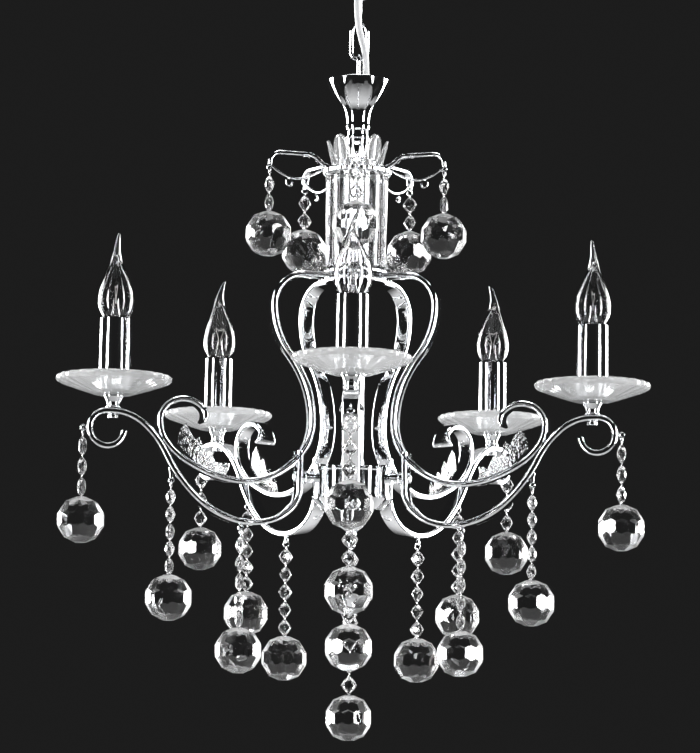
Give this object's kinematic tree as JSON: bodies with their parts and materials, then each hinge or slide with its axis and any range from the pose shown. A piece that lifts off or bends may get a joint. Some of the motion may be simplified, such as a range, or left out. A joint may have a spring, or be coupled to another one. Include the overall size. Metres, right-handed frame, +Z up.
{
  "type": "candle-arm crystal chandelier",
  "caption": "Chrome chandelier with scrolled double arms, candle lamps on glass dishes, a crystal column and strands of beads that end in faceted balls, hung on a short chain.",
  "frame": {"origin": "middle of the ceiling plate's top face, which lies on the ceiling", "axes": "+Z up out of the ceiling face, -Y towards the front arm, +X to the right seen from the front"},
  "size_m": [0.5032, 0.4833, 0.675],
  "materials": {
    "chrome": "polished",
    "socket_metal": "satin",
    "sleeve": "polished",
    "crystal": "cut and polished",
    "dish_glass": "polished",
    "lamp_glass": "clear",
    "cord": "matt"
  },
  "bodies": {
    "ceiling_mount": {"ceiling_hook": "chrome"},
    "upper_link": {"chain_link_upper": "chrome"},
    "chandelier": {"chain_link_lower": "chrome", "top_loop": "chrome", "supply_cord": "cord", "trumpet_cup": "chrome", "crown_petals": "crystal", "top_arms": "chrome", "centre_tube": "chrome", "column_rods": "crystal", "arm_leaves": "crystal", "hub_drum": "chrome", "hub_finial": "chrome", "candle_sockets": "socket_metal", "upper_strip_1": "chrome", "upper_strip_2": "chrome", "upper_strip_3": "chrome", "upper_strip_4": "chrome", "upper_strip_5": "chrome", "lower_strip_1": "chrome", "lower_strip_2": "chrome", "lower_strip_3": "chrome", "lower_strip_4": "chrome", "lower_strip_5": "chrome", "glass_dish_1": "dish_glass", "glass_dish_2": "dish_glass", "glass_dish_3": "dish_glass", "glass_dish_4": "dish_glass", "glass_dish_5": "dish_glass", "candle_sleeve_1": "sleeve", "candle_sleeve_2": "sleeve", "candle_sleeve_3": "sleeve", "candle_sleeve_4": "sleeve", "candle_sleeve_5": "sleeve"},
    "tip_pendant_1": {"tip_pendant_1": "crystal"},
    "tip_pendant_2": {"tip_pendant_2": "crystal"},
    "tip_pendant_3": {"tip_pendant_3": "crystal"},
    "tip_pendant_4": {"tip_pendant_4": "crystal"},
    "tip_pendant_5": {"tip_pendant_5": "crystal"},
    "leaf_pendant_1": {"leaf_pendant_1": "crystal"},
    "leaf_pendant_2": {"leaf_pendant_2": "crystal"},
    "leaf_pendant_3": {"leaf_pendant_3": "crystal"},
    "leaf_pendant_4": {"leaf_pendant_4": "crystal"},
    "leaf_pendant_5": {"leaf_pendant_5": "crystal"},
    "valley_pendant_1": {"valley_pendant_1": "crystal"},
    "valley_pendant_2": {"valley_pendant_2": "crystal"},
    "valley_pendant_3": {"valley_pendant_3": "crystal"},
    "valley_pendant_4": {"valley_pendant_4": "crystal"},
    "valley_pendant_5": {"valley_pendant_5": "crystal"},
    "top_pendant_1": {"top_pendant_1": "crystal"},
    "top_pendant_2": {"top_pendant_2": "crystal"},
    "top_pendant_3": {"top_pendant_3": "crystal"},
    "top_pendant_4": {"top_pendant_4": "crystal"},
    "top_pendant_5": {"top_pendant_5": "crystal"},
    "bottom_pendant": {"bottom_pendant": "crystal"},
    "lamp_1": {"lamp_1": "lamp_glass"},
    "lamp_2": {"lamp_2": "lamp_glass"},
    "lamp_3": {"lamp_3": "lamp_glass"},
    "lamp_4": {"lamp_4": "lamp_glass"},
    "lamp_5": {"lamp_5": "lamp_glass"}
  },
  "joints": [
    {"name": "ceiling_link_swing", "type": "hinge", "parent": "ceiling_mount", "child": "upper_link", "pos_m": [0, 0, -0.0265], "axis": [1, 0, 0], "range_deg": [-5, 5]},
    {"name": "chandelier_swing", "type": "hinge", "parent": "upper_link", "child": "chandelier", "pos_m": [0, 0, -0.0536], "axis": [0, 1, 0], "range_deg": [-5, 5]},
    {"name": "tip_pendant_1_swing", "type": "hinge", "parent": "chandelier", "child": "tip_pendant_1", "pos_m": [0, -0.23865, -0.41875], "axis": [0, -1, 0], "range_deg": [-15, 15]},
    {"name": "tip_pendant_2_swing", "type": "hinge", "parent": "chandelier", "child": "tip_pendant_2", "pos_m": [0.22697, -0.07375, -0.41875], "axis": [0.9511, -0.309, 0], "range_deg": [-15, 15]},
    {"name": "tip_pendant_3_swing", "type": "hinge", "parent": "chandelier", "child": "tip_pendant_3", "pos_m": [0.14028, 0.19307, -0.41875], "axis": [0.5878, 0.809, 0], "range_deg": [-15, 15]},
    {"name": "tip_pendant_4_swing", "type": "hinge", "parent": "chandelier", "child": "tip_pendant_4", "pos_m": [-0.14028, 0.19307, -0.41875], "axis": [-0.5878, 0.809, 0], "range_deg": [-15, 15]},
    {"name": "tip_pendant_5_swing", "type": "hinge", "parent": "chandelier", "child": "tip_pendant_5", "pos_m": [-0.22697, -0.07375, -0.41875], "axis": [-0.9511, -0.309, 0], "range_deg": [-15, 15]},
    {"name": "leaf_pendant_1_swing", "type": "hinge", "parent": "chandelier", "child": "leaf_pendant_1", "pos_m": [0, -0.161, -0.46], "axis": [0, -1, 0], "range_deg": [-15, 15]},
    {"name": "leaf_pendant_2_swing", "type": "hinge", "parent": "chandelier", "child": "leaf_pendant_2", "pos_m": [0.15312, -0.04975, -0.46], "axis": [0.9511, -0.309, 0], "range_deg": [-15, 15]},
    {"name": "leaf_pendant_3_swing", "type": "hinge", "parent": "chandelier", "child": "leaf_pendant_3", "pos_m": [0.09463, 0.13025, -0.46], "axis": [0.5878, 0.809, 0], "range_deg": [-15, 15]},
    {"name": "leaf_pendant_4_swing", "type": "hinge", "parent": "chandelier", "child": "leaf_pendant_4", "pos_m": [-0.09463, 0.13025, -0.46], "axis": [-0.5878, 0.809, 0], "range_deg": [-15, 15]},
    {"name": "leaf_pendant_5_swing", "type": "hinge", "parent": "chandelier", "child": "leaf_pendant_5", "pos_m": [-0.15312, -0.04975, -0.46], "axis": [-0.9511, -0.309, 0], "range_deg": [-15, 15]},
    {"name": "valley_pendant_1_swing", "type": "hinge", "parent": "chandelier", "child": "valley_pendant_1", "pos_m": [0, -0.099, -0.4978], "axis": [0, -1, 0], "range_deg": [-15, 15]},
    {"name": "valley_pendant_2_swing", "type": "hinge", "parent": "chandelier", "child": "valley_pendant_2", "pos_m": [0.09416, -0.03059, -0.4978], "axis": [0.9511, -0.309, 0], "range_deg": [-15, 15]},
    {"name": "valley_pendant_3_swing", "type": "hinge", "parent": "chandelier", "child": "valley_pendant_3", "pos_m": [0.05819, 0.08009, -0.4978], "axis": [0.5878, 0.809, 0], "range_deg": [-15, 15]},
    {"name": "valley_pendant_4_swing", "type": "hinge", "parent": "chandelier", "child": "valley_pendant_4", "pos_m": [-0.05819, 0.08009, -0.4978], "axis": [-0.5878, 0.809, 0], "range_deg": [-15, 15]},
    {"name": "valley_pendant_5_swing", "type": "hinge", "parent": "chandelier", "child": "valley_pendant_5", "pos_m": [-0.09416, -0.03059, -0.4978], "axis": [-0.9511, -0.309, 0], "range_deg": [-15, 15]},
    {"name": "top_pendant_1_swing", "type": "hinge", "parent": "chandelier", "child": "top_pendant_1", "pos_m": [0, -0.0795, -0.1835], "axis": [0, -1, 0], "range_deg": [-15, 15]},
    {"name": "top_pendant_2_swing", "type": "hinge", "parent": "chandelier", "child": "top_pendant_2", "pos_m": [0.07561, -0.02457, -0.1835], "axis": [0.9511, -0.309, 0], "range_deg": [-15, 15]},
    {"name": "top_pendant_3_swing", "type": "hinge", "parent": "chandelier", "child": "top_pendant_3", "pos_m": [0.04673, 0.06432, -0.1835], "axis": [0.5878, 0.809, 0], "range_deg": [-15, 15]},
    {"name": "top_pendant_4_swing", "type": "hinge", "parent": "chandelier", "child": "top_pendant_4", "pos_m": [-0.04673, 0.06432, -0.1835], "axis": [-0.5878, 0.809, 0], "range_deg": [-15, 15]},
    {"name": "top_pendant_5_swing", "type": "hinge", "parent": "chandelier", "child": "top_pendant_5", "pos_m": [-0.07561, -0.02457, -0.1835], "axis": [-0.9511, -0.309, 0], "range_deg": [-15, 15]},
    {"name": "bottom_pendant_swing", "type": "hinge", "parent": "chandelier", "child": "bottom_pendant", "pos_m": [0, 0, -0.5055], "axis": [0, -1, 0], "range_deg": [-15, 15]},
    {"name": "lamp_1_turn", "type": "hinge", "parent": "chandelier", "child": "lamp_1", "pos_m": [0, -0.213, -0.341], "axis": [0, 0, 1], "range_deg": [0, 360]},
    {"name": "lamp_2_turn", "type": "hinge", "parent": "chandelier", "child": "lamp_2", "pos_m": [0.20258, -0.06582, -0.341], "axis": [0, 0, 1], "range_deg": [0, 360]},
    {"name": "lamp_3_turn", "type": "hinge", "parent": "chandelier", "child": "lamp_3", "pos_m": [0.1252, 0.17232, -0.341], "axis": [0, 0, 1], "range_deg": [0, 360]},
    {"name": "lamp_4_turn", "type": "hinge", "parent": "chandelier", "child": "lamp_4", "pos_m": [-0.1252, 0.17232, -0.341], "axis": [0, 0, 1], "range_deg": [0, 360]},
    {"name": "lamp_5_turn", "type": "hinge", "parent": "chandelier", "child": "lamp_5", "pos_m": [-0.20258, -0.06582, -0.341], "axis": [0, 0, 1], "range_deg": [0, 360]}
  ]
}
